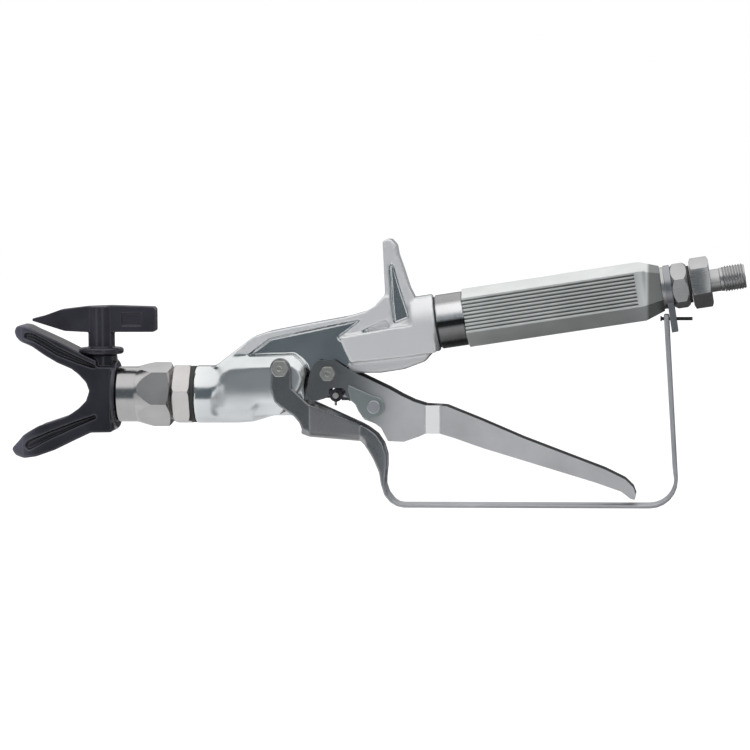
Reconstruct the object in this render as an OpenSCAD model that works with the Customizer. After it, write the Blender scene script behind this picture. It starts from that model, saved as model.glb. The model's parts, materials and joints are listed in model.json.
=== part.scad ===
// Airless paint spray gun with an in-line grip, for a G1/4 high-pressure hose.
// The spray axis is X, pointing to the hose end; +Z is up and -Y is the near side.
// The origin is where the turning axis of the reversible tip crosses the spray axis.

/* [Spray tip] */
// Radius of the tip barrel
barrel_r = 5.5; // [4.5:0.1:6]
// Lower end of the tip barrel below the spray axis
barrel_depth = 12; // [9:0.5:14]
// Radius of the hub of the tip handle
hub_r = 6.7; // [6.2:0.1:8]
// Radius of the collar under the hub
collar_r = 11.1; // [9:0.1:12]
// Height of the collar's underside above the spray axis
collar_z = 20.3; // [19:0.1:24]
// Thickness of the collar
collar_h = 3.3; // [2:0.1:4]
// Height of the flat underside of the flag
flag_z = 31.4; // [30:0.1:36]
// Height of the flag at its hub
flag_h = 13.4; // [10:0.1:16]
// Reach of the flag's point in front of the hub
flag_nose = 34.7; // [28:0.1:38]
// Reach of the flag's square end behind the hub
flag_tail = 28; // [20:0.1:32]
// Thickness of the flag
flag_t = 9; // [6:0.5:12]

/* [Tip guard] */
// Radius of the upright tube that holds the tip barrel
tube_r = 6.6; // [6.4:0.1:8]
// Radius of the round back plate
guard_back_r = 17.2; // [16:0.1:19]
// Half-width of the wings across the gun
wing_half_w = 11; // [8:0.5:14]
// Front end of the wings, ahead of the tip axis
wing_reach = 42.5; // [36:0.5:48]
// Radius of the guard's hub inside the nut
guard_hub_r = 9; // [8:0.1:9.5]

/* [Nut and seat housing] */
// Radius of the nut's round neck
nut_neck_r = 13.9; // [13:0.1:15]
// Nut size across its flats
nut_flats = 28.5; // [27:0.5:31]
// Largest radius of the nut over its corners
nut_corner_r = 16.6; // [15.5:0.1:18]
// Front face of the nut
nut_x = 8.6; // [8.4:0.1:10]
// Length of the nut
nut_len = 28.6; // [24:0.1:28.8]
// Radius of the nose thread, seven-eighths inch
nose_r = 11.1; // [10:0.1:11.5]
// Housing size across its flats
housing_flats = 28; // [26:0.5:29]
// Length of the housing's hexagon
housing_len = 8.4; // [6:0.1:10]
// Radius of the seal ring behind the housing
seal_r = 14.2; // [13:0.1:14.4]
// Thickness of the seal ring
seal_t = 2.1; // [1:0.1:3]

/* [Gun body] */
// Radius of the valve housing
valve_r = 14.5; // [13.5:0.1:15.5]
// Radius of the valve housing's rear end
valve_rear_r = 10.8; // [9:0.1:12]
// Half-thickness of the web
web_half = 4.5; // [3.5:0.1:6]
// Half-width of the top rail and of the pads' upper edge
rail_half = 8.5; // [6:0.1:9]
// Half-width of the flat side pads
pad_half = 12.6; // [11:0.1:13]
// Half-width of the underside rail
keel_half = 6.3; // [4:0.1:6.5]
// Half-width of the grip socket
socket_half = 14.4; // [12:0.1:14.4]
// Half-width of the hook
hook_half = 7.5; // [5:0.5:10]
// Height of the hook's top above the spray axis
hook_top = 77.5; // [65:0.5:85]
// Radius of the valve chamber
chamber_r = 7; // [6:0.1:8]
// Radius of the fluid passages
passage_r = 2.2; // [1.5:0.1:2.5]

/* [Valve] */
// Radius of the needle
needle_r = 2; // [1.5:0.1:2.4]
// Radius of the valve ball
ball_r = 2.6; // [2.2:0.1:3]
// Radius of the seat's bore
seat_bore_r = 1.6; // [1:0.1:2]
// Radius of the spring's wire
wire_r = 0.6; // [0.4:0.05:0.8]
// Turns of the spring
spring_turns = 8; // [5:1:11]
// Radius of the bushes that the trigger pushes
bush_r = 3.2; // [2.6:0.1:3.3]

/* [Trigger] */
// Place of the trigger pivot behind the tip axis
pivot_x = 115.4; // [112:0.1:118]
// Height of the trigger pivot above the spray axis
pivot_z = 10.9; // [10:0.1:12]
// Radius of the pivot bolt's shank
pivot_r = 2.5; // [2:0.1:3]
// Thickness of the trigger's sheet
sheet_t = 2; // [1.5:0.1:2.2]
// Distance from the middle plane to the head's inner faces
head_inner = 7.2; // [7.1:0.1:8]
// Distance from the middle plane to the lever's inner faces
lever_inner = 5.6; // [4:0.1:6.5]
// Place of the lock's rivet behind the tip axis
rivet_x = 138.4; // [136:0.1:140]
// Height of the lock's rivet
rivet_z = -5.7; // [-8:0.1:-4]
// Radius of the lock's round lobe
lobe_r = 5.3; // [4:0.1:6]
// Thickness of the lock plate
lock_t = 1.5; // [1:0.1:2]

/* [Trigger guard] */
// Place of the front bolt behind the tip axis
bolt_x = 92.1; // [90:0.1:93]
// Height of the front bolt
bolt_z = 13.8; // [13:0.1:14.2]
// Thickness of the guard's sheet
guard_t = 1.8; // [1.5:0.1:2.5]
// Half-width of the strap
strap_half = 7; // [5:0.5:8]
// Height of the strap's lower face
strap_z = -56.5; // [-64:0.5:-55]
// How far the foot of the strap's rear upright stands behind its top
strap_lean = 4.3; // [2:0.1:6]
// Radius of the strap's rear corner, outside
strap_corner_r = 14; // [8:0.5:20]

/* [Grip] */
// Tilt of the grip above the spray axis, in degrees
grip_tilt = 8.45; // [8:0.05:9]
// Length of the ring between body and grip
ring_len = 13.7; // [10:0.1:16]
// Radius of the ring
ring_r = 13.5; // [12:0.1:14]
// Length of the grip
grip_len = 98.4; // [98:0.1:98.8]
// Half-height of the grip's section
grip_half_h = 14.6; // [13.5:0.1:16]
// Half-height of the grip's broad side flats
grip_flat_h = 8.8; // [7:0.1:10]
// Half-width of the grip's section
grip_half_w = 12.6; // [12:0.1:14]
// Turn of the grip about its own axis, in degrees
grip_roll = 8; // [0:1:15]
// Length of the taper at the grip's rear end
taper_len = 9.8; // [6:0.1:14]
// Number of grooves on each side flat
groove_count = 9; // [4:1:12]
// Radius of the inner tube
tube_outer_r = 9.9; // [9:0.1:10]
// Wall of the inner tube
tube_wall = 1.5; // [1:0.1:2]

/* [Hose end] */
// Radius of the G1/4 hose thread
thread_r = 6.58; // [6:0.01:6.6]
// Length of the hose thread
thread_len = 12.4; // [10:0.1:14]
// Lock nut size across its flats
lock_nut_flats = 20; // [18:0.5:22]
// Swivel nut size across its flats
swivel_flats = 22; // [19:0.5:24]
// Length of the swivel nut
swivel_len = 9.7; // [8:0.1:12]
// Radius of the swivel's spigot
spigot_r = 4.5; // [3.5:0.1:5]
// Bore of the hose fitting
hose_bore_r = 2.5; // [2:0.1:3]

/* [Fits] */
// Radial clearance of turning and screwed fits
fit = 0.05; // [0.02:0.01:0.09]
// Gap between faces of pieces that move past each other
face_gap = 0.2; // [0.15:0.05:0.4]

/* [Hidden] */

$fn = 48;
black = [0.16, 0.155, 0.175];
bright_steel = [0.78, 0.77, 0.74];
polished = [0.72, 0.74, 0.77];
dull_steel = [0.5, 0.51, 0.53];
satin = [0.70, 0.71, 0.70];
rubber = [0.1, 0.1, 0.1];

housing_x = nut_x + nut_len + 2 * face_gap;
seal_x = housing_x + housing_len;
body_x = seal_x + seal_t;
chamber_end = 92;
body_end = 103.9;
thread_depth = 9;
spring_front = body_x + thread_depth + 2.9;
spring_rear = chamber_end - 0.1;
spring_r = 4.3;
pin_x = 119.4;
pin_r = 1.5;
cheek_outer = head_inner + sheet_t;
lever_outer = lever_inner + sheet_t;
guard_inner = pad_half + face_gap;
guard_outer = guard_inner + guard_t;
clip_pin_r = 0.85;
grip_x = 170;
grip_z = 35.95;
ring_s = 0.2;
grip_s = ring_s + ring_len;
grip_end = grip_s + grip_len;
socket_depth = 12;
washer_t = 1.8;
clip_t = 3.2;
clip_s = grip_end + washer_t;
clip_hole_drop = 15.45;
guard_pin_z = grip_z + clip_s * sin(grip_tilt) - clip_hole_drop * cos(grip_tilt);
clip_face_x = grip_x + clip_s * cos(grip_tilt) + clip_hole_drop * sin(grip_tilt);
lock_nut_s = clip_s + clip_t;
lock_nut_len = 8.2;
swivel_gap = 1.5;
swivel_s = lock_nut_s + lock_nut_len + swivel_gap;
thread_s = swivel_s + swivel_len + 4.7;
tail_r = 6.5;
hex = 1 / cos(30);

// A cylinder along X from x0
module rod_x(x0, r, len, r2 = undef) {
    translate([x0, 0, 0]) rotate([0, 90, 0])
        cylinder(h = len, r1 = r, r2 = is_undef(r2) ? r : r2);
}

// A cylinder along Y from y0 at (x, z)
module rod_y(x, z, r, y0, len) {
    translate([x, y0, z]) rotate([-90, 0, 0]) cylinder(h = len, r = r);
}

// An outline in X and Z, extruded from y0 to y1
module plate(outline, y0, y1) {
    translate([0, y1, 0]) rotate([90, 0, 0])
        linear_extrude(height = y1 - y0) polygon(outline);
}

// The same outline on both sides of the middle plane
module plate_pair(outline, y0, y1) {
    plate(outline, y0, y1);
    plate(outline, -y1, -y0);
}

// A revolved outline of (x, radius) points about X
module revolve_x(outline) {
    rotate([0, 90, 0]) rotate([0, 0, 180])
        rotate_extrude() polygon([for (p = outline) [p[1], p[0]]]);
}

// A hexagonal prism along X, with a corner at angle turn from +Z
module hex_x(x0, flats, len, turn) {
    translate([x0, 0, 0]) rotate([0, 90, 0]) rotate([0, 0, turn])
        cylinder(h = len, r = flats / 2 * hex, $fn = 6);
}

// A straight bore in the middle plane between two (x, z) points
module bore_between(a, b, r) {
    run = b - a;
    translate([a[0], 0, a[1]]) rotate([0, 90 - atan2(run[1], run[0]), 0])
        cylinder(h = norm(run), r = r);
}

// Children drawn along X from the grip's front end go to the grip's own axis
module on_grip() {
    translate([grip_x, 0, grip_z]) rotate([0, -grip_tilt, 0]) children();
}

// ---- spray tip ----

flag_top = flag_z + flag_h;
flag_mid = flag_z + flag_h / 2;
flag_outline = [
    [-flag_nose, flag_mid - 0.9], [-flag_nose + 0.4, flag_mid + 0.3],
    [-flag_nose + 6.5, flag_top - 4.9], [-flag_nose + 15, flag_top - 1.9],
    [-7, flag_top - 0.4], [5, flag_top], [flag_tail - 1, flag_top - 0.7],
    [flag_tail, flag_top - 1.8], [flag_tail, flag_z + 1],
    [flag_tail - 1, flag_z], [-7, flag_z], [-flag_nose + 16.6, flag_z + 0.6],
    [-flag_nose + 9.3, flag_z + 2.9]
];
window_x = 16;
window_z = flag_mid - 0.3;

module tip_handle() {
    color(black) difference() {
        union() {
            plate(flag_outline, -flag_t / 2, flag_t / 2);
            translate([0, 0, collar_z + collar_h / 2])
                cylinder(r = hub_r, h = flag_top - 0.5 - collar_z - collar_h / 2);
            translate([0, 0, collar_z]) rotate_extrude()
                polygon([[0, 0], [collar_r - 0.8, 0], [collar_r, 0.9], [collar_r, collar_h - 0.9],
                    [collar_r - 0.8, collar_h], [0, collar_h]]);
        }
        for (side = [-1, 1])
            translate([window_x, side * flag_t / 2, window_z]) cube([10, 1.6, 6.4], center = true);
        translate([0, 0, collar_z - 1]) cylinder(r = barrel_r - 1 + fit, h = 14 + fit);
    }
}

module tip_barrel() {
    color(bright_steel) difference() {
        union() {
            translate([0, 0, -barrel_depth]) cylinder(r = barrel_r, h = barrel_depth + collar_z);
            cylinder(r = barrel_r - 1, h = collar_z + 12);
        }
        rod_x(-barrel_r - 1, 2.6 + fit, 2 * barrel_r + 2);
    }
}

module tip_orifice() {
    color(dull_steel) difference() {
        rod_x(-barrel_r + 0.8, 2.6, 2 * barrel_r - 1.6);
        rod_x(-barrel_r - 1, 0.4, 2 * barrel_r + 2);
        rod_x(-1, 1.2, barrel_r + 2);
    }
}

// ---- tip guard ----

wing_nose_z = 30;
// Both wings and the block that joins them, seen from the side
wings_outline = [
    [-wing_reach - 0.4, wing_nose_z + 2], [-wing_reach + 0.5, wing_nose_z + 4.4],
    [-wing_reach + 2.8, wing_nose_z + 5.4], [-wing_reach + 6, wing_nose_z + 4.7],
    [-33, 32.8], [-26.8, 30], [-20.7, 27.2], [-12, 22.8], [-7, 20], [-1.2, 17.4],
    [-1.2, 14.6], [0, 14.2], [6.7, 14.2], [6.7, -18], [5.7, -18.6], [-4.4, -18.8], [-13, -22.8],
    [-22.7, -27.5], [-32.5, -30.9], [-wing_reach + 3.9, -wing_nose_z - 1.7],
    [-wing_reach - 0.7, -wing_nose_z - 0.4], [-wing_reach - 2.7, -wing_nose_z + 2.2],
    [-wing_reach - 2.3, -wing_nose_z + 4.4], [-wing_reach, -wing_nose_z + 6.8],
    [-38.4, -19.5], [-31, -15.4], [-21.3, -12.2], [-17.2, -10.9], [-13.6, -8.8], [-10.2, -6.4],
    [-6.6, -2.8],
    [-4.9, 2.2], [-6.4, 6.4], [-10, 10.4], [-13.7, 13.3], [-20.9, 16.4], [-26.9, 19.9],
    [-33.5, 24.4], [-wing_reach + 6.4, wing_nose_z - 4.4], [-wing_reach + 2.8, wing_nose_z - 3],
    [-wing_reach + 0.4, wing_nose_z - 0.6]
];
upper_groove = [
    [-wing_reach + 5.4, wing_nose_z + 1.5], [-33, 30.9], [-26.8, 27.8], [-20.8, 24], [-10, 18.9],
    [-1.6, 15], [-1.6, 13.3], [-10, 16], [-20.9, 20.2], [-26.9, 23.9], [-33, 27.4],
    [-wing_reach + 5, wing_nose_z - 1.2]
];
lower_groove = [
    [-wing_reach + 4.6, -wing_nose_z + 5], [-wing_reach + 6.6, -wing_nose_z + 7.2],
    [-25.6, -18.4], [-12, -13.2], [-1.6, -9.8], [-1.6, -11.6], [-12, -16], [-25.6, -22.2],
    [-wing_reach + 6.4, -wing_nose_z + 2.4]
];
guard_hub_end = nut_x + 9.4;
groove_depth = 2.5;

module wings() {
    difference() {
        intersection() {
            plate(wings_outline, -wing_half_w, wing_half_w);
            // seen from above, the noses are narrower than the wings
            translate([0, 0, -50]) linear_extrude(height = 100) polygon([
                [-wing_reach - 3.6, -wing_half_w + 4], [-wing_reach + 3.5, -wing_half_w],
                [10, -wing_half_w], [10, wing_half_w],
                [-wing_reach + 3.5, wing_half_w], [-wing_reach - 3.6, wing_half_w - 4]
            ]);
        }
        plate_pair(upper_groove, wing_half_w - groove_depth, wing_half_w + 1);
        plate_pair(lower_groove, wing_half_w - groove_depth, wing_half_w + 1);
        // the palm of each wing is hollowed, so the wings stay as bowed rims
        rod_x(-wing_reach - 6, 30, wing_reach - 16, 9.5);
        rod_x(-26, 9.5, 19, 4.5);
    }
}

module tip_guard() {
    color(black) difference() {
        union() {
            wings();
            translate([0, 0, -barrel_depth - 4])
                cylinder(r = tube_r, h = collar_z - face_gap + barrel_depth + 4);
            translate([0, 0, 12]) cylinder(r = tube_r + 1.3, h = collar_z - face_gap - 12);
            rod_x(6.5, guard_back_r, nut_x - face_gap - 6.5);
            rod_x(4, guard_hub_r, guard_hub_end - 4);
        }
        translate([0, 0, -barrel_depth - face_gap])
            cylinder(r = barrel_r + fit, h = barrel_depth + collar_z + 8);
        translate([0, 0, collar_z - face_gap]) cylinder(r = collar_r + 2 * face_gap, h = 12);
        rod_x(-20, 3.4, 22);
        rod_x(-9, 6.5, 5.2, 3.4);
        rod_x(barrel_r - 1, 6 + fit, 20);
    }
}

saddle_x = barrel_r + 0.3;

module saddle_seal() {
    color(bright_steel) difference() {
        rod_x(saddle_x, 6, guard_hub_end - saddle_x - 2);
        rod_x(saddle_x - 1, 2, 20);
    }
}

module tip_gasket() {
    color(rubber) difference() {
        rod_x(guard_hub_end - 2 + 0.01, 5.9, 4);
        rod_x(guard_hub_end - 4, 2.2, 8);
    }
}

nut_end = nut_x + nut_len;

module retaining_nut() {
    color(bright_steel) difference() {
        intersection() {
            revolve_x([[nut_x, 0], [nut_x, nut_neck_r - 0.6], [nut_x + 0.6, nut_neck_r],
                [nut_x + 9.4, nut_neck_r], [nut_x + 10, nut_neck_r + 0.1],
                [nut_x + 19, nut_corner_r], [nut_end - 2.6, nut_corner_r - 0.2],
                [nut_end - 0.2, nut_neck_r - 1.4], [nut_end, 0]]);
            union() {
                rod_x(nut_x - 1, nut_neck_r + 0.05, 11.4);
                hex_x(nut_x + 10, nut_flats, nut_len, 45);
            }
        }
        rod_x(nut_x - 1, guard_hub_r + face_gap, nut_len);
        rod_x(guard_hub_end + 1, nose_r + fit, nut_len);
    }
}

// ---- seat housing and valve ----

seat_x = seal_x + 1;

module seat_housing() {
    color(bright_steel) difference() {
        union() {
            rod_x(guard_hub_end + 2.2, nose_r, housing_x - guard_hub_end);
            intersection() {
                hex_x(housing_x, housing_flats, housing_len, 22);
                revolve_x([[housing_x, 0], [housing_x, 15], [housing_x + 1, 16.6],
                    [seal_x - 1, 16.6], [seal_x, 15], [seal_x, 0]]);
            }
            rod_x(seal_x - 0.1, 10, seal_t + thread_depth);
        }
        rod_x(guard_hub_end, 3, 60);
        rod_x(seat_x, 4.5 + fit, 60);
    }
}

module valve_seat() {
    color(dull_steel) difference() {
        rod_x(seat_x + 0.01, 4.5, 4);
        rod_x(seat_x - 1, seat_bore_r, 10);
        rod_x(seat_x + 2.6, seat_bore_r, 2, ball_r + 0.1);
    }
}

module housing_seal() {
    color(rubber) difference() {
        rod_x(seal_x, seal_r, seal_t);
        rod_x(seal_x - 1, 10 + fit, seal_t + 2);
    }
}

ball_x = seat_x + 4 + sqrt(ball_r * ball_r - seat_bore_r * seat_bore_r) * 0.6;

module valve_ball() {
    color(bright_steel) translate([ball_x, 0, 0]) sphere(r = ball_r);
}

needle_front = ball_x + ball_r + 0.05;
needle_end = pin_x + 9;

module needle() {
    color(bright_steel) difference() {
        union() {
            rod_x(needle_front, needle_r, needle_end - needle_front);
            rod_x(spring_front - 2, 5, 1.9);
        }
        rod_y(pin_x, 0, pin_r + fit, -10, 20);
    }
}

// The wire's centre line: closed end turns, then an even helix, along X
spring_steps = 8;
ring_sides = 6;
wire_len = spring_rear - spring_front - 2 * wire_r - 0.2;
wire_path = [for (i = [0 : spring_turns * spring_steps])
    let (turn = i * 360 / spring_steps)
    [spring_front + wire_r + 0.1 + wire_len * i / (spring_turns * spring_steps),
        spring_r * sin(turn), spring_r * cos(turn)]];
echo(least_gap_between_turns = wire_len / spring_turns - 2 * wire_r);

function wire_ring(i) =
    let (turn = i * 360 / spring_steps)
    [for (k = [0 : ring_sides - 1])
        let (a = k * 360 / ring_sides)
        wire_path[i] + wire_r * [sin(a), cos(a) * sin(turn), cos(a) * cos(turn)]];

module return_spring() {
    rings = len(wire_path);
    sides = [for (i = [0 : rings - 2], k = [0 : ring_sides - 1])
        let (a = i * ring_sides + k, b = i * ring_sides + (k + 1) % ring_sides)
        each [[a, b, b + ring_sides], [a, b + ring_sides, a + ring_sides]]];
    last = (rings - 1) * ring_sides;
    ends = [for (k = [1 : ring_sides - 2]) each [[0, k + 1, k], [last, last + k, last + k + 1]]];
    color(dull_steel) polyhedron(
        points = [for (i = [0 : rings - 1]) each wire_ring(i)], faces = concat(sides, ends));
}

module needle_packing() {
    color(rubber) difference() {
        rod_x(chamber_end + 0.01, 5.5, 5);
        rod_x(chamber_end - 1, needle_r + fit, 8);
    }
}

packing_flats = 9;

module packing_nut() {
    color(dull_steel) difference() {
        union() {
            rod_x(chamber_end + 5.02, 5.5, body_end - chamber_end - 5);
            hex_x(body_end, packing_flats, 3.4, 0);
        }
        rod_x(chamber_end, needle_r + fit, 30);
    }
}

bush_end = cheek_outer + 0.4;
clip_r = 0.6;
clip_y = bush_end + clip_r + 2 * face_gap;

module cross_pin() {
    color(bright_steel) difference() {
        union() {
            rod_y(pin_x, 0, pin_r, -clip_y - 2 * clip_r, clip_y + 2 * clip_r + bush_end + 1);
            rod_y(pin_x, 0, pin_r + 0.5, bush_end + face_gap, 1.4);
        }
        translate([pin_x, -clip_y, -5]) cylinder(r = clip_r + fit, h = 10);
    }
}

module pin_bushes() {
    color(black) difference() {
        union() {
            rod_y(pin_x, 0, bush_r, -bush_end, bush_end - needle_r - 1.4);
            rod_y(pin_x, 0, bush_r, needle_r + 1.4, bush_end - needle_r - 1.4);
        }
        rod_y(pin_x, 0, pin_r + fit, -20, 40);
    }
}

// A split pin through the end of the cross pin, its legs hanging down
module pin_clip() {
    color(rubber) translate([pin_x, -clip_y, -pin_r - 3.4])
        difference() {
            union() {
                cylinder(r = clip_r, h = 2 * pin_r + 4);
                translate([0, 0, 2 * pin_r + 3.6]) cylinder(r = 1.5 * clip_r, h = 0.8);
            }
            translate([-0.1, -2, -1]) cube([0.2, 4, 3.6]);
        }
}

module needle_nut() {
    color(black) difference() {
        union() {
            rod_x(pin_x + pin_r + 0.5, needle_r + 1.2, 3.4);
            hex_x(pin_x + pin_r + 3.9, 6, 2.2, 0);
        }
        rod_x(pin_x, needle_r + fit, 20);
    }
}

// ---- gun body ----

pad_low = [
    [60, -3], [58.5, 5], [63.6, 11.6], [67, 13.6], [98, 14.8], [101.2, 12.2], [102.6, 9],
    [101, 4], [98, -1], [95, -3]
];
pad_foot = [[64, -9.8], [64, -7], [94, -7], [91, -9.8]];
pad_high = [
    [56, -5], [55, 6], [61.5, 15.6], [66.7, 18.4], [74.3, 19.5], [98.3, 20.3], [101.6, 17.6],
    [104, 14.8], [105, 10.1], [104, 5], [100.7, 0.5], [97, -6]
];
web_outline = [
    [52, 0], [53, 10], [60, 15.7], [77.7, 29.1], [85.3, 31.6], [108.6, 36.1], [125.3, 39.1],
    [133.8, 41.5], [140.4, 45.5], [144.6, 49], [157, 50], [166, 38], [168.5, 22], [163.9, 17],
    [153.5, 13.4], [141.2, 11.6], [127, 11.6], [124, 9.6], [121, 6.6], [104, 5.6], [100, 0]
];
rail_outline = [
    [57, 13.6], [60, 15.7], [77.7, 29.1], [85.3, 31.6], [108.6, 36.1], [125.3, 39.1],
    [133.8, 41.5], [140.4, 45.5], [144.6, 49], [150, 48], [147, 43], [138.6, 39.6],
    [128.6, 37.2], [109.5, 33.2], [86.2, 28.4], [72.7, 18.4], [66, 14]
];
rib_outline = [[120.4, 28.4], [123.2, 27], [131, 31.6], [145, 38], [147.4, 44], [141, 44]];
socket_outline = [
    [121.6, 29.9], [124.1, 23.4], [127.4, 16.6], [129.4, 16.9], [142, 18], [154, 19.3], [170, 21.6],
    [170.1, 24], [167.6, 36], [148.5, 33.8], [124.6, 29.6]
];
keel_outline = [
    [125.6, 11.3], [127.2, 10.9], [141.2, 10.9], [153.5, 12.8], [163.9, 16.7], [167, 21],
    [150, 20], [128, 17.6], [125, 14]
];
hook_outline = [
    [142.9, hook_top - 1.2], [144.4, hook_top], [147, hook_top], [149.7, hook_top - 3],
    [150.4, 70], [152.8, 63.2], [156.2, 52.8], [157.6, 50.4], [160, 44], [160, 33], [147, 33],
    [141, 42], [139.6, 45.6], [143.9, 50], [143.4, 64.7]
];
hook_pocket = [
    [146, 63.4], [146.6, 65.4], [147.8, 65.4], [148.7, 63.4], [150.4, 57], [152.5, 50],
    [154.6, 43.5], [156.2, 38.4], [148, 35.2], [146.8, 46]
];
pocket_floor = 3.2;
socket_r = 14.4;

module body_shape() {
    intersection() {
        revolve_x([[body_x, 0], [body_x, valve_r - 0.4], [body_x + 0.6, valve_r],
            [70, valve_r], [76.7, valve_r - 0.6], [82, valve_r - 2.1], [87, valve_rear_r],
            [body_end - 1, valve_rear_r], [body_end, valve_rear_r - 1], [body_end, 0]]);
        // behind its round front end, the housing is flattened in line with the pads
        translate([0, 0, -20]) linear_extrude(height = 40) polygon([
            [body_x - 1, -20], [56, -valve_r - 0.5], [64, -pad_half], [110, -pad_half],
            [110, pad_half], [64, pad_half], [56, valve_r + 0.5], [body_x - 1, 20]
        ]);
    }
    hull() {
        plate(pad_foot, -pad_half + 3.4, pad_half - 3.4);
        plate(pad_low, -pad_half, pad_half);
        plate(pad_high, -rail_half, rail_half);
    }
    plate(web_outline, -web_half, web_half);
    plate(rail_outline, -rail_half, rail_half);
    plate(rib_outline, -rail_half, rail_half);
    plate(socket_outline, -socket_half, socket_half);
    plate(keel_outline, -keel_half, keel_half);
    plate(hook_outline, -hook_half, hook_half);
    rod_y(pivot_x, pivot_z, 5.4, -head_inner + face_gap, 2 * (head_inner - face_gap));
    on_grip() rod_x(-13, socket_r - 1.2, 1.4, socket_r);
    on_grip() rod_x(-11.8, socket_r, 11.2);
}

module gun_body() {
    color(polished) difference() {
        body_shape();
        plate_pair(hook_pocket, pocket_floor, 20);
        rod_x(body_x - 1, 10 + fit, thread_depth + 1.2);
        rod_x(body_x, chamber_r, chamber_end - body_x);
        rod_x(chamber_end - 1, 5.5 + fit, 30);
        rod_y(bolt_x, bolt_z, pivot_r + fit, -20, 40);
        rod_y(pivot_x, pivot_z, pivot_r + fit, -20, 40);
        on_grip() rod_x(-socket_depth, tube_outer_r + fit, 20);
        bore_between([162, 34.8], [88, 24.2], passage_r);
        bore_between([88, 25.5], [82, 5], passage_r);
    }
}

// ---- trigger ----

head_outline = [
    [111, 17.6], [119, 17.5], [126.7, 12.3], [135.4, 8.1], [145.7, 3.2], [151.9, -0.3],
    [158, -3.2], [164, -5.1], [164, -19.1], [160.7, -20.6], [153.2, -23.2], [145.2, -22.9],
    [143.4, -19.4], [141.8, -16.3], [138.8, -14.1], [133.4, -12], [130.6, -8], [129, -4.6],
    [125.6, -1.6], [124.2, 0], [124, 2.6], [122.6, 3.6], [116.9, 3.6], [115.9, 2.6],
    [115.9, 0.2], [114.1, -1.5], [110, -2.7], [106.8, -2.4], [104.4, 1.5], [106.1, 10.3], [108, 15.2]
];
lever_outline = [
    [171, -5.3], [174.3, -5.6], [192.1, -12.8], [212.5, -21.6], [237.7, -31.4], [253, -37.1],
    [262.9, -42], [267, -46], [268.3, -49.6], [267.6, -52.1], [265.6, -51.6], [260.9, -48],
    [248.1, -43.5], [222.8, -35.6], [192.1, -26.4], [178, -21.4], [171, -19.3]
];
lever_floor = [
    [171, -19.3], [178, -21.4], [192.1, -26.4], [222.8, -35.6], [248.1, -43.5], [260.9, -48],
    [265.6, -51.6], [267.6, -52.1], [268.3, -49.6], [266.4, -49.2], [261.6, -45.8],
    [248.7, -41.5], [223.4, -33.6], [192.7, -24.4], [178.6, -19.4], [171, -17.2]
];
head_floor = [
    [164, -19.1], [160.7, -20.6], [153.2, -23.2], [145.2, -22.9], [146.2, -21],
    [153, -21.2], [160, -18.6], [164, -17]
];
joint_slice = 0.2;

// The short step where the head narrows to the lever, on one side
module joggle(side) {
    hull() {
        plate([[164 - joint_slice, -5.1], [164, -5.1], [164, -19.1], [164 - joint_slice, -19.1]],
            side > 0 ? head_inner : -cheek_outer, side > 0 ? cheek_outer : -head_inner);
        plate([[171, -5.3], [171 + joint_slice, -5.4], [171 + joint_slice, -19.3], [171, -19.3]],
            side > 0 ? lever_inner : -lever_outer, side > 0 ? lever_outer : -lever_inner);
    }
}

module trigger() {
    color(dull_steel) difference() {
        union() {
            plate_pair(head_outline, head_inner, cheek_outer);
            plate_pair(lever_outline, lever_inner, lever_outer);
            for (side = [-1, 1]) joggle(side);
            plate(head_floor, -cheek_outer, cheek_outer);
            plate(lever_floor, -lever_outer, lever_outer);
            hull() {
                plate([[163.8, -19.1], [164, -19.1], [164, -17], [163.8, -17]], -cheek_outer, cheek_outer);
                plate([[171, -19.3], [171.2, -19.3], [171.2, -17.3], [171, -17.3]],
                    -lever_outer, lever_outer);
            }
        }
        rod_y(pivot_x, pivot_z, pivot_r + fit, -20, 40);
        rod_y(rivet_x, rivet_z, 1.5 + fit, -20, 20);
    }
}

module hex_y(x, z, flats, y0, len) {
    translate([x, y0, z]) rotate([-90, 0, 0]) cylinder(h = len, r = flats / 2 * hex, $fn = 6);
}

module bolt(x, z, grip_half, head_flats) {
    color(bright_steel) difference() {
        union() {
            rod_y(x, z, pivot_r, -grip_half - 0.5, 2 * grip_half + 4.6);
            intersection() {
                hex_y(x, z, head_flats, -grip_half - 3.2, 3.2);
                rod_y(x, z, head_flats / 2 * hex - 0.25, -grip_half - 3.2, 3.2);
            }
        }
        rod_y(x, z, 1.1, -grip_half - 4, 1.6);
    }
}

module bolt_nut(x, z, y0, flats) {
    color(bright_steel) difference() {
        hex_y(x, z, flats, y0, 3);
        rod_y(x, z, pivot_r + fit, y0 - 1, 5);
    }
}

module pivot_bolt() { bolt(pivot_x, pivot_z, cheek_outer + face_gap, 7); }
module pivot_nut() { bolt_nut(pivot_x, pivot_z, cheek_outer + face_gap, 7); }
module guard_bolt() { bolt(bolt_x, bolt_z, guard_outer, 8); }
module guard_bolt_nut() { bolt_nut(bolt_x, bolt_z, guard_outer, 8); }

module lock_rivet() {
    lock_face = cheek_outer + face_gap + lock_t + face_gap;
    color(bright_steel) union() {
        rod_y(rivet_x, rivet_z, 1.5, -lock_face - 0.5, lock_face + 0.5 - head_inner + 0.4);
        rod_y(rivet_x, rivet_z, 3.3, -lock_face - 1, 1);
        rod_y(rivet_x, rivet_z, 2.4, -head_inner, 0.8);
    }
}

lock_outline = [
    [rivet_x - 12.6, rivet_z + 10.9], [rivet_x + 0.6, rivet_z + 5], [rivet_x + 3.4, rivet_z + 3.6],
    [rivet_x + 2, rivet_z - 4.6], [rivet_x - 2.9, rivet_z - 6.6], [rivet_x - 5.6, rivet_z - 5.3],
    [rivet_x - 7.9, rivet_z - 1.8], [rivet_x - 8.8, rivet_z + 0.8], [rivet_x - 11.5, rivet_z + 3.2],
    [rivet_x - 13, rivet_z + 8]
];

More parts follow.
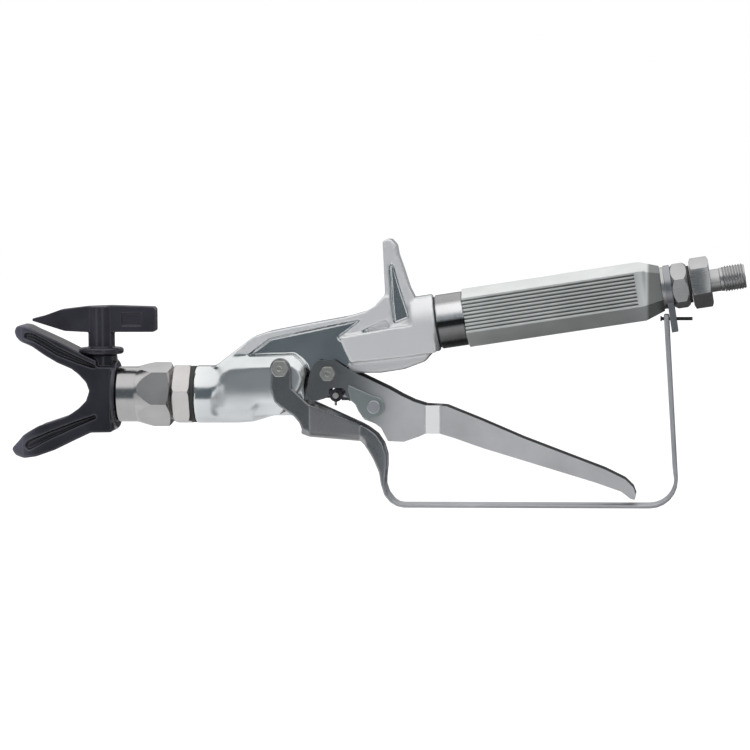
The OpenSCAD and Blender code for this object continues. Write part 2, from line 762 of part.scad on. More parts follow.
module trigger_lock() {
    y0 = -cheek_outer - face_gap - lock_t;
    color(dull_steel) difference() {
        union() {
            plate(lock_outline, y0, y0 + lock_t);
            rod_y(rivet_x, rivet_z, lobe_r, y0, lock_t);
        }
        rod_y(rivet_x, rivet_z, 1.5 + fit, y0 - 1, 4);
    }
}

// ---- trigger guard ----

cheek_front = [
    [87.6, 13.8], [87.2, 3.2], [88.9, -2.9], [91.4, -5.2], [98.7, -10.2], [101.4, -13.4],
    [102.6, -16.6], [102.2, -19.2], [106.3, -20.6], [106.3, -4.2], [97.8, 3.8], [97.7, 13.8]
];
slope_start = [[106.1, -4.1], [106.3, -4.2], [106.3, -20.6], [106.1, -20.6]];
slope_end = [[131, -14.5], [131.2, -14.6], [131.2, -23.4], [131, -23.4]];
channel_side = [
    [131, -14.5], [135, -16.7], [139.4, -20], [142.6, -24.8], [144.2, -30.2], [144.2, -36],
    [143.6, -41], [143.4, -46], [141.8, -46], [140.6, -39.4], [138, -32.4], [134.6, -26.8],
    [131, -23.4]
];
// The floor of the channel, which runs on down into the flat strap
channel_back = [
    [131, -23.4], [131.2, -21.4], [133.4, -22.2], [136, -25.4], [139.4, -31.4], [142.4, -38.6],
    [143.2, -44.4], [144.8, strap_z + 7.2], [147.4, strap_z + 3.8], [149.8, strap_z + 2.2],
    [152.2, strap_z + guard_t], [155, strap_z + guard_t], [155, strap_z], [152.6, strap_z],
    [149.2, strap_z + 0.7], [145.9, strap_z + 2.6], [142.9, strap_z + 6.2], [141.2, -44.8],
    [140.4, -39.2], [137.5, -32.2], [134.3, -26.8]
];
nose_floor = [[102.2, -19.2], [106.3, -20.6], [106.3, -18.6], [102.6, -17.2]];
lip_z = strap_z + guard_t;
upright_t = 2.6;
strap_top = [clip_face_x - upright_t - 0.5, guard_pin_z + 2.2];
strap_rear_x = strap_top[0] + upright_t + strap_lean;
corner_x = strap_rear_x - strap_corner_r;
corner_z = strap_z + strap_corner_r;
strap_path = concat(
    [[154, strap_z], [corner_x, strap_z]],
    [for (a = [-75 : 15 : -15]) [corner_x + strap_corner_r * cos(a), corner_z + strap_corner_r * sin(a)]],
    [[strap_rear_x, corner_z], [strap_top[0] + upright_t, strap_top[1]], strap_top,
        [strap_rear_x - upright_t, corner_z + 6], [strap_rear_x - guard_t, corner_z]],
    [for (a = [-15 : -15 : -75]) [corner_x + (strap_corner_r - guard_t) * cos(a),
        corner_z + (strap_corner_r - guard_t) * sin(a)]],
    [[corner_x, lip_z], [154, lip_z]]
);

// One side plate, running in from the cheek to the strap's channel
module sloping_side(side) {
    hull() {
        plate(slope_start, side > 0 ? guard_inner : -guard_outer, side > 0 ? guard_outer : -guard_inner);
        plate(slope_end, side > 0 ? strap_half - guard_t : -strap_half,
            side > 0 ? strap_half : guard_t - strap_half);
    }
}

module trigger_guard() {
    color(dull_steel) difference() {
        union() {
            plate_pair(cheek_front, guard_inner, guard_outer);
            rod_y(bolt_x, bolt_z, 5.2, guard_inner, guard_t);
            rod_y(bolt_x, bolt_z, 5.2, -guard_outer, guard_t);
            for (side = [-1, 1]) sloping_side(side);
            plate_pair(channel_side, strap_half - guard_t, strap_half);
            plate(channel_back, -strap_half, strap_half);
            plate(nose_floor, -guard_outer, guard_outer);
            hull() {
                plate([[106.1, -20.6], [106.3, -20.6], [106.3, -18.6], [106.1, -18.6]],
                    -guard_outer, guard_outer);
                plate([[131, -23.4], [131.2, -23.4], [131.2, -21.4], [131, -21.4]],
                    -strap_half, strap_half);
            }
            plate(strap_path, -strap_half, strap_half);
        }
        rod_y(bolt_x, bolt_z, pivot_r + fit, -20, 40);
        translate([0, 0, guard_pin_z]) rod_x(clip_face_x - 14, clip_pin_r + fit, 30);
    }
}

// ---- grip ----

module ring_seal() {
    color(rubber) on_grip() difference() {
        rod_x(-0.6, 12.6, 0.8);
        rod_x(-2, tube_outer_r + fit, 4);
    }
}

module label_ring() {
    color(polished) on_grip() difference() {
        revolve_x([[ring_s, 0], [ring_s, ring_r - 0.5], [ring_s + 0.5, ring_r],
            [grip_s - 0.5, ring_r], [grip_s, ring_r - 0.5], [grip_s, 0]]);
        rod_x(-2, tube_outer_r + fit, 20);
    }
}

tube_end = grip_end - 8;

module fluid_tube() {
    color(dull_steel) on_grip() difference() {
        rod_x(-socket_depth + 0.2, tube_outer_r, tube_end + socket_depth - 0.2);
        rod_x(-socket_depth - 1, tube_outer_r - tube_wall, tube_end + socket_depth + 2);
    }
}

module filter_screen() {
    color(satin) on_grip() difference() {
        rod_x(6, 6, tube_end - 26);
        rod_x(8, 5.2, tube_end - 20);
    }
}

module filter_spring_seat() {
    color(dull_steel) on_grip() difference() {
        union() {
            rod_x(tube_end - 20 + 0.02, tube_outer_r - tube_wall - fit, 3);
            rod_x(tube_end - 24, 5.2 - fit, 5);
        }
        rod_x(tube_end - 30, 3, 20);
    }
}

grip_section = [
    [-grip_half_w, grip_flat_h], [-1.8, grip_half_h], [1.8, grip_half_h],
    [grip_half_w, grip_flat_h], [grip_half_w, -grip_flat_h], [1.8, -grip_half_h],
    [-1.8, -grip_half_h], [-grip_half_w, -grip_flat_h]
];
groove_pitch = 2 * (grip_flat_h - 0.6) / groove_count;
groove_half = 0.62;
groove_depth_g = 1.1;
taper_drop = 3.4;

// The grip's section, drawn in the plane across its axis, with grooved side flats
module grip_outline() {
    difference() {
        polygon(grip_section);
        for (side = [-1, 1], i = [0 : groove_count - 1])
            translate([side * grip_half_w, (i - (groove_count - 1) / 2) * groove_pitch])
                polygon([[-side * groove_depth_g, 0], [side * 0.1, groove_half], [side * 0.1, -groove_half]]);
    }
}

module across_grip(s, len) {
    translate([s, 0, 0]) rotate([90, 0, 90]) linear_extrude(height = len) children();
}

module grip() {
    straight = grip_len - taper_len;
    color(satin) on_grip() rotate([-grip_roll, 0, 0]) difference() {
        union() {
            across_grip(grip_s + 0.02, straight - 2.6) grip_outline();
            across_grip(grip_s + straight - 2.7, 2.8) polygon(grip_section);
            hull() {
                across_grip(grip_s + straight, 0.1) polygon(grip_section);
                across_grip(grip_end - 0.1, 0.1)
                    polygon([for (p = grip_section) p * (grip_half_h - taper_drop) / grip_half_h]);
            }
        }
        rod_x(0, tube_outer_r + fit, tube_end + 0.4);
        rod_x(0, tube_outer_r - tube_wall, 200);
    }
}

// ---- hose end ----

module tail_fitting() {
    color(bright_steel) on_grip() difference() {
        union() {
            rod_x(tube_end - 12, tube_outer_r - tube_wall - fit, 12 + grip_end - tube_end);
            rod_x(tube_end, tail_r, lock_nut_s + lock_nut_len - tube_end);
            rod_x(tube_end, spigot_r, swivel_s + 6 - tube_end);
        }
        rod_x(tube_end - 20, hose_bore_r, 80);
        rod_x(tube_end - 13, 6, 8);
    }
}

module tail_washer() {
    color(bright_steel) on_grip() difference() {
        rod_x(grip_end, 10.4, washer_t);
        rod_x(grip_end - 1, tail_r + fit, 4);
    }
}

clip_half_w = 8;
clip_foot = -22;

module guard_clip() {
    difference() {
        color(dull_steel) on_grip() difference() {
            union() {
                rod_x(clip_s, 11, clip_t);
                translate([clip_s, -clip_half_w, clip_foot]) cube([clip_t, 2 * clip_half_w, -clip_foot]);
            }
            rod_x(clip_s - 1, tail_r + fit, clip_t + 2);
        }
        translate([0, 0, guard_pin_z]) rod_x(clip_face_x - 14, clip_pin_r + fit, 30);
    }
}

module clip_pin() {
    color(rubber) translate([0, 0, guard_pin_z]) union() {
        rod_x(clip_face_x - 4.2, clip_pin_r, 15.3);
        rod_x(clip_face_x - 4.8, clip_pin_r + 0.5, 0.65);
    }
}

module chamfered_hex(s0, flats, len, turn, trim) {
    intersection() {
        hex_x(s0, flats, len, turn);
        revolve_x([[s0, 0], [s0, flats / 2 - 0.2], [s0 + trim, flats / 2 * hex + 0.3],
            [s0 + len - trim, flats / 2 * hex + 0.3], [s0 + len, flats / 2 - 0.2], [s0 + len, 0]]);
    }
}

module lock_nut() {
    color(bright_steel) on_grip() difference() {
        chamfered_hex(lock_nut_s, lock_nut_flats, lock_nut_len, 12, 2.2);
        rod_x(lock_nut_s - 1, tail_r + fit, lock_nut_len + 2);
    }
}

module swivel_seal() {
    color(rubber) on_grip() difference() {
        rod_x(lock_nut_s + lock_nut_len + 0.02, 9.2, swivel_gap - face_gap - 0.02);
        rod_x(lock_nut_s, spigot_r + fit, 20);
    }
}

module swivel_nut() {
    color(bright_steel) on_grip() difference() {
        union() {
            chamfered_hex(swivel_s, swivel_flats, swivel_len, 53, 1);
            rod_x(swivel_s + swivel_len - 0.1, 5.6, 5);
            revolve_x([[thread_s, 0], [thread_s, thread_r - 0.8], [thread_s + 0.8, thread_r],
                [thread_s + thread_len - 0.8, thread_r], [thread_s + thread_len, thread_r - 0.8],
                [thread_s + thread_len, 0]]);
        }
        rod_x(swivel_s - 1, spigot_r + fit, 8.4);
        rod_x(swivel_s, hose_bore_r, 60);
    }
}

module spigot_seal() {
    color(rubber) on_grip() difference() {
        rod_x(swivel_s + 6 + face_gap, spigot_r - 0.1, 1);
        rod_x(swivel_s, hose_bore_r + 0.2, 12);
    }
}

tip_handle();
tip_barrel();
tip_orifice();
tip_guard();
saddle_seal();
tip_gasket();
retaining_nut();
seat_housing();
valve_seat();
housing_seal();
gun_body();
valve_ball();
needle();
return_spring();
needle_packing();
packing_nut();
cross_pin();
pin_bushes();
pin_clip();
needle_nut();
trigger();
pivot_bolt();
pivot_nut();
lock_rivet();
trigger_lock();
trigger_guard();
guard_bolt();
guard_bolt_nut();
ring_seal();
label_ring();
fluid_tube();
filter_screen();
filter_spring_seat();
grip();
tail_fitting();
tail_washer();
guard_clip();
clip_pin();
lock_nut();
swivel_seal();
swivel_nut();
spigot_seal();
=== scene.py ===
import json
import math

import bpy
from mathutils import Matrix, Vector

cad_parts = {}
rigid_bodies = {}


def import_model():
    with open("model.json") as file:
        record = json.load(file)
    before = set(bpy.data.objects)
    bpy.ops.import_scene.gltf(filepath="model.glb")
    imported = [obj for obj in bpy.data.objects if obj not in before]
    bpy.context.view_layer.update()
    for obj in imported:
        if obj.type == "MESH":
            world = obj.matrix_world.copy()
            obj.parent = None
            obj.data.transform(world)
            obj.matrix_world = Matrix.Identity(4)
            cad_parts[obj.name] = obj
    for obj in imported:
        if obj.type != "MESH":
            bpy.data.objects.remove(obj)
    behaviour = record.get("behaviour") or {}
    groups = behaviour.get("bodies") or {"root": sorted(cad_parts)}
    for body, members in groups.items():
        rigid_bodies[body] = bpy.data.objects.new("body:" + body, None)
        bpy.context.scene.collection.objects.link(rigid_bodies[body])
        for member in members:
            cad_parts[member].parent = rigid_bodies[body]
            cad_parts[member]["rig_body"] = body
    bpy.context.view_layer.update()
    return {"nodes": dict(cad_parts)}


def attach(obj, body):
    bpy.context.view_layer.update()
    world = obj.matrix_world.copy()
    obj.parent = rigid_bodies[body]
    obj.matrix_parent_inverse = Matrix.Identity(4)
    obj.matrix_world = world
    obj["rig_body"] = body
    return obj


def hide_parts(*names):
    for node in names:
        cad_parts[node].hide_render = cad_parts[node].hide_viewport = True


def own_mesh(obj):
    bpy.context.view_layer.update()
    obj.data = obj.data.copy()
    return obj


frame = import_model()
nodes = frame["nodes"]

# every size is in metres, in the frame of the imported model
gripTilt = math.radians(8.45)
gripAxis = Vector((math.cos(gripTilt), 0, math.sin(gripTilt)))
gripStart = Vector((0.170, 0, 0.03595))
gripUp = Vector((-math.sin(gripTilt), 0, math.cos(gripTilt)))
gripRoll = math.radians(8)
flatOut = Vector((0, 1, 0)) * math.cos(gripRoll) - gripUp * math.sin(gripRoll)
flatUp = Vector((0, 1, 0)) * math.sin(gripRoll) + gripUp * math.cos(gripRoll)


# small helpers around the operators

def clearSelection():
    if bpy.context.mode != "OBJECT":
        bpy.ops.object.mode_set(mode="OBJECT")
    bpy.ops.object.select_all(action="DESELECT")


def pick(piece):
    clearSelection()
    piece.select_set(True)
    bpy.context.view_layer.objects.active = piece


def addModifier(piece, kind, values):
    pick(piece)
    bpy.ops.object.modifier_add(type=kind)
    modifier = piece.modifiers[-1]
    for key, value in values.items():
        setattr(modifier, key, value)
    bpy.ops.object.modifier_apply(modifier=modifier.name)


def copyOfNode(nodeName, pieceName):
    # a merged copy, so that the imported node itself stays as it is
    piece = nodes[nodeName].copy()
    piece.data = nodes[nodeName].data.copy()
    piece.name = pieceName
    piece.data.name = pieceName
    for key in list(piece.keys()):
        del piece[key]
    piece.parent = None
    piece.matrix_world = Matrix.Identity(4)
    bpy.context.scene.collection.objects.link(piece)
    pick(piece)
    if piece.data.has_custom_normals:
        bpy.ops.mesh.customdata_custom_splitnormals_clear()
    bpy.ops.object.mode_set(mode="EDIT")
    bpy.ops.mesh.select_all(action="SELECT")
    bpy.ops.mesh.remove_doubles(threshold=0.000002)
    bpy.ops.object.mode_set(mode="OBJECT")
    return piece


def standFor(piece, nodeName):
    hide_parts(nodeName)
    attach(piece, nodes[nodeName]["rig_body"])


def finishPiece(piece, material, smoothAngle=None):
    pick(piece)
    if smoothAngle is None:
        bpy.ops.object.shade_smooth()
    else:
        bpy.ops.object.shade_smooth_by_angle(angle=math.radians(smoothAngle))
    piece.data.materials.clear()
    piece.data.materials.append(material)


# materials

def newMaterial(name):
    material = bpy.data.materials.new(name)
    material.use_nodes = True
    tree = material.node_tree
    tree.nodes.clear()
    output = tree.nodes.new("ShaderNodeOutputMaterial")
    shader = tree.nodes.new("ShaderNodeBsdfPrincipled")
    tree.links.new(shader.outputs["BSDF"], output.inputs["Surface"])
    return material, tree, shader


def addNoise(tree, stretch, scale, detail=4.0, tilt=0.0):
    where = tree.nodes.new("ShaderNodeTexCoord")
    mapping = tree.nodes.new("ShaderNodeMapping")
    mapping.inputs["Scale"].default_value = stretch
    mapping.inputs["Rotation"].default_value = (0, tilt, 0)
    noise = tree.nodes.new("ShaderNodeTexNoise")
    noise.inputs["Scale"].default_value = scale
    noise.inputs["Detail"].default_value = detail
    tree.links.new(where.outputs["Object"], mapping.inputs["Vector"])
    tree.links.new(mapping.outputs["Vector"], noise.inputs["Vector"])
    return noise.outputs["Fac"]


def spread(tree, socket, low, high, fromLow=0.3, fromHigh=0.7):
    # a stretch of values, such as the middle of a noise, becomes a range from low to high
    span = tree.nodes.new("ShaderNodeMapRange")
    span.inputs["From Min"].default_value = fromLow
    span.inputs["From Max"].default_value = fromHigh
    span.inputs["To Min"].default_value = low
    span.inputs["To Max"].default_value = high
    tree.links.new(socket, span.inputs["Value"])
    return span.outputs["Result"]


def mixOf(tree, kind, factor, low, high):
    mix = tree.nodes.new("ShaderNodeMix")
    mix.data_type = kind
    tree.links.new(factor, mix.inputs["Factor"])
    for name, value in (("A", low), ("B", high)):
        if isinstance(value, tuple):
            mix.inputs[name].default_value = (*value, 1)
        elif isinstance(value, (int, float)):
            mix.inputs[name].default_value = value
        else:
            tree.links.new(value, mix.inputs[name])
    return mix.outputs["Result"]


def blendColours(tree, factor, low, high):
    return mixOf(tree, "RGBA", factor, low, high)


def mixValues(tree, factor, low, high):
    return mixOf(tree, "FLOAT", factor, low, high)


def addBump(tree, height, strength, distance, below=None):
    bump = tree.nodes.new("ShaderNodeBump")
    bump.inputs["Strength"].default_value = strength
    bump.inputs["Distance"].default_value = distance
    tree.links.new(height, bump.inputs["Height"])
    if below is not None:
        tree.links.new(below, bump.inputs["Normal"])
    return bump.outputs["Normal"]


def rampOf(tree, socket, low, high, first=0.0, last=1.0):
    span = tree.nodes.new("ShaderNodeMapRange")
    span.interpolation_type = "SMOOTHSTEP"
    span.inputs["From Min"].default_value = low
    span.inputs["From Max"].default_value = high
    span.inputs["To Min"].default_value = first
    span.inputs["To Max"].default_value = last
    tree.links.new(socket, span.inputs["Value"])
    return span.outputs["Result"]


def scaled(tree, colour, factor):
    scale = tree.nodes.new("ShaderNodeVectorMath")
    scale.operation = "SCALE"
    tree.links.new(colour, scale.inputs[0])
    tree.links.new(factor, scale.inputs["Scale"])
    return scale.outputs["Vector"]


def placeMask(tree, axis, low, high, mirrored=False):
    # runs from 0 to 1 along one axis of the piece
    # a mirrored mask takes the distance from the middle plane
    where = tree.nodes.new("ShaderNodeTexCoord")
    parts = tree.nodes.new("ShaderNodeSeparateXYZ")
    tree.links.new(where.outputs["Object"], parts.inputs["Vector"])
    value = parts.outputs[axis]
    if mirrored:
        value = joinValues(tree, "ABSOLUTE", value)
    return rampOf(tree, value, low, high)


def gripPlace(tree, direction):
    # distance from the grip's axis in one direction square to it
    where = tree.nodes.new("ShaderNodeTexCoord")
    offset = tree.nodes.new("ShaderNodeVectorMath")
    offset.operation = "SUBTRACT"
    offset.inputs[1].default_value = gripStart
    reach = tree.nodes.new("ShaderNodeVectorMath")
    reach.operation = "DOT_PRODUCT"
    reach.inputs[1].default_value = direction
    tree.links.new(where.outputs["Object"], offset.inputs[0])
    tree.links.new(offset.outputs["Vector"], reach.inputs[0])
    return reach.outputs["Value"]


def joinValues(tree, operation, *values):
    join = tree.nodes.new("ShaderNodeMath")
    join.operation = operation
    for place, value in enumerate(values):
        if isinstance(value, (int, float)):
            join.inputs[place].default_value = value
        else:
            tree.links.new(value, join.inputs[place])
    return join.outputs["Value"]


def areaMask(tree, areas):
    # each area is a box: its ends in X, its least distance from the middle plane and its ends in Z
    total = None
    for area in areas:
        mask = joinValues(tree, "MULTIPLY", placeMask(tree, "X", *area["x"]),
                          placeMask(tree, "Y", *area["out"], mirrored=True))
        mask = joinValues(tree, "MULTIPLY", mask, placeMask(tree, "X", *area["xEnd"]))
        mask = joinValues(tree, "MULTIPLY", mask, placeMask(tree, "Z", *area["z"]))
        if "zEnd" in area:
            mask = joinValues(tree, "MULTIPLY", mask, placeMask(tree, "Z", *area["zEnd"]))
        total = mask if total is None else joinValues(tree, "MAXIMUM", total, mask)
    return total


# the pale colour is for painted highlights, and the rim shade is painted shade on sheet edges
metalMarksAndPaintedLight = {"edges": (0.44, 0.58), "edgeChange": 0.12, "paintedHighlight": (0.97, 0.97, 0.98),
             "rimDepth": (0.00045, 0.00010), "rimShade": 0.30, "waveDepth": 0.0006, "grainDepth": 0.00005}


def metalFinish(name, values):
    material, tree, shader = newMaterial(name)
    shader.inputs["Metallic"].default_value = 1.0
    cloud = addNoise(tree, (1, 1, 1), values.get("cloudScale", 45), 3)
    grain = addNoise(tree, values.get("grainStretch", (1, 1, 1)), values.get("grainScale", 1800), 3,
                     values.get("tilt", 0.0))
    # edges are a little brighter, and hollows a little duller
    edges = tree.nodes.new("ShaderNodeNewGeometry")
    change = values.get("edgeTone", metalMarksAndPaintedLight["edgeChange"])
    edgeTone = spread(tree, edges.outputs["Pointiness"], 1 - change, 1 + change, *metalMarksAndPaintedLight["edges"])
    colourAndPaintedLight = scaled(tree, blendColours(tree, spread(tree, cloud, 0, 1), values["dull"], values["bright"]), edgeTone)
    low, high = values["roughness"]
    roughness = spread(tree, grain, low, high)
    if "softened" in values:
        # stretches with a duller surface
        roughness = mixValues(tree, areaMask(tree, values["softened"]), roughness,
                              values["softRoughness"])
    if "paintedHighlight" in values:
        # painted highlight: chosen faces are painted pale, and made duller
        mask = areaMask(tree, values["paintedHighlight"])
        colourAndPaintedLight = blendColours(tree, mask, colourAndPaintedLight, metalMarksAndPaintedLight["paintedHighlight"])
        roughness = mixValues(tree, mask, roughness, values["highlightRoughness"])
    if "paintedLightAlong" in values:
        # painted shade: darker towards one end of the piece
        axis, start, end, least = values["paintedLightAlong"]
        colourAndPaintedLight = scaled(tree, colourAndPaintedLight, mixValues(tree, placeMask(tree, axis, start, end), least, 1.0))
    for rim in values.get("rims", []):
        # painted shade: the sheet's sheared edges are painted darker than its faces
        outer, inner = (rim["face"] - depth for depth in metalMarksAndPaintedLight["rimDepth"])
        inFace = placeMask(tree, "Y", outer, inner, mirrored=True)
        inPart = joinValues(tree, "MULTIPLY", placeMask(tree, "X", *rim["x"]),
                            placeMask(tree, "X", *rim["xEnd"]))
        inRim = joinValues(tree, "MULTIPLY", inPart, joinValues(tree, "SUBTRACT", 1.0, inFace))
        colourAndPaintedLight = scaled(tree, colourAndPaintedLight, mixValues(tree, inRim, 1.0, metalMarksAndPaintedLight["rimShade"]))
    if "grooves" in values:
        # painted shade at the bottom of the grooves in the flats
        grooves = values["grooves"]
        deep = rampOf(tree, joinValues(tree, "ABSOLUTE", gripPlace(tree, flatOut)), *grooves["depth"])
        inFlat = rampOf(tree, joinValues(tree, "ABSOLUTE", gripPlace(tree, flatUp)), *grooves["width"])
        inFlat = joinValues(tree, "MULTIPLY", inFlat, placeMask(tree, "X", *grooves["end"]))
        grooveShade = joinValues(tree, "MULTIPLY", deep, inFlat)
        colourAndPaintedLight = scaled(tree, colourAndPaintedLight, mixValues(tree, grooveShade, 1.0, grooves["shade"]))
    if "bands" in values:
        # bands that run round the ring, across its height: the pale band is the label, and the grey, black and
        # dark bands are painted reflection and shade
        ramp = tree.nodes.new("ShaderNodeValToRGB")
        for index, (height, level) in enumerate(values["bands"]):
            stop = ramp.color_ramp.elements[index] if index < 2 else ramp.color_ramp.elements.new(height)
            stop.position = height
            stop.color = (level, level, level, 1)
        across = spread(tree, gripPlace(tree, gripUp), 0, 1, *values["bandSpan"])
        tree.links.new(across, ramp.inputs["Fac"])
        colourAndPaintedLight = scaled(tree, colourAndPaintedLight, ramp.outputs["Color"])
    tree.links.new(colourAndPaintedLight, shader.inputs["Base Color"])
    tree.links.new(roughness, shader.inputs["Roughness"])
    waves = addNoise(tree, (1, 1, 1), values.get("waveScale", 70), 1)
    ripple = addBump(tree, waves, values.get("waves", 0.0), metalMarksAndPaintedLight["waveDepth"])
    surface = addBump(tree, grain, values.get("bump", 0.05), metalMarksAndPaintedLight["grainDepth"], ripple)
    tree.links.new(surface, shader.inputs["Normal"])
    return material


mouldedPaintedLightAndGrain = {"edges": (0.42, 0.58), "hollow": 0.8, "rim": 1.2, "grainDepth": 0.00006}


def mouldedFinish(name, values):
    material, tree, shader = newMaterial(name)
    shader.inputs["Metallic"].default_value = 0.0
    cloud = addNoise(tree, (1, 1, 1), values.get("cloudScale", 60), 4)
    speckle = addNoise(tree, (1, 1, 1), values.get("grainScale", 2600), 3)
    colour = blendColours(tree, spread(tree, cloud, 0, 1), values["dull"], values["bright"])
    # painted shade in the hollows, and painted highlight on the rims
    edges = tree.nodes.new("ShaderNodeNewGeometry")
    shade = rampOf(tree, edges.outputs["Pointiness"], *mouldedPaintedLightAndGrain["edges"],
                   values.get("hollow", mouldedPaintedLightAndGrain["hollow"]), values.get("rim", mouldedPaintedLightAndGrain["rim"]))
    colour = scaled(tree, colour, shade)
    # painted light towards one end of the piece: the guard's wing noses are painted paler
    if "paintedLightAlong" in values:
        axis, start, end, first = values["paintedLightAlong"]
        colour = scaled(tree, colour, mixValues(tree, placeMask(tree, axis, start, end), first, 1.0))
    tree.links.new(colour, shader.inputs["Base Color"])
    low, high = values["roughness"]
    tree.links.new(spread(tree, cloud, low, high), shader.inputs["Roughness"])
    surface = addBump(tree, speckle, values.get("bump", 0.15), mouldedPaintedLightAndGrain["grainDepth"])
    tree.links.new(surface, shader.inputs["Normal"])
    return material


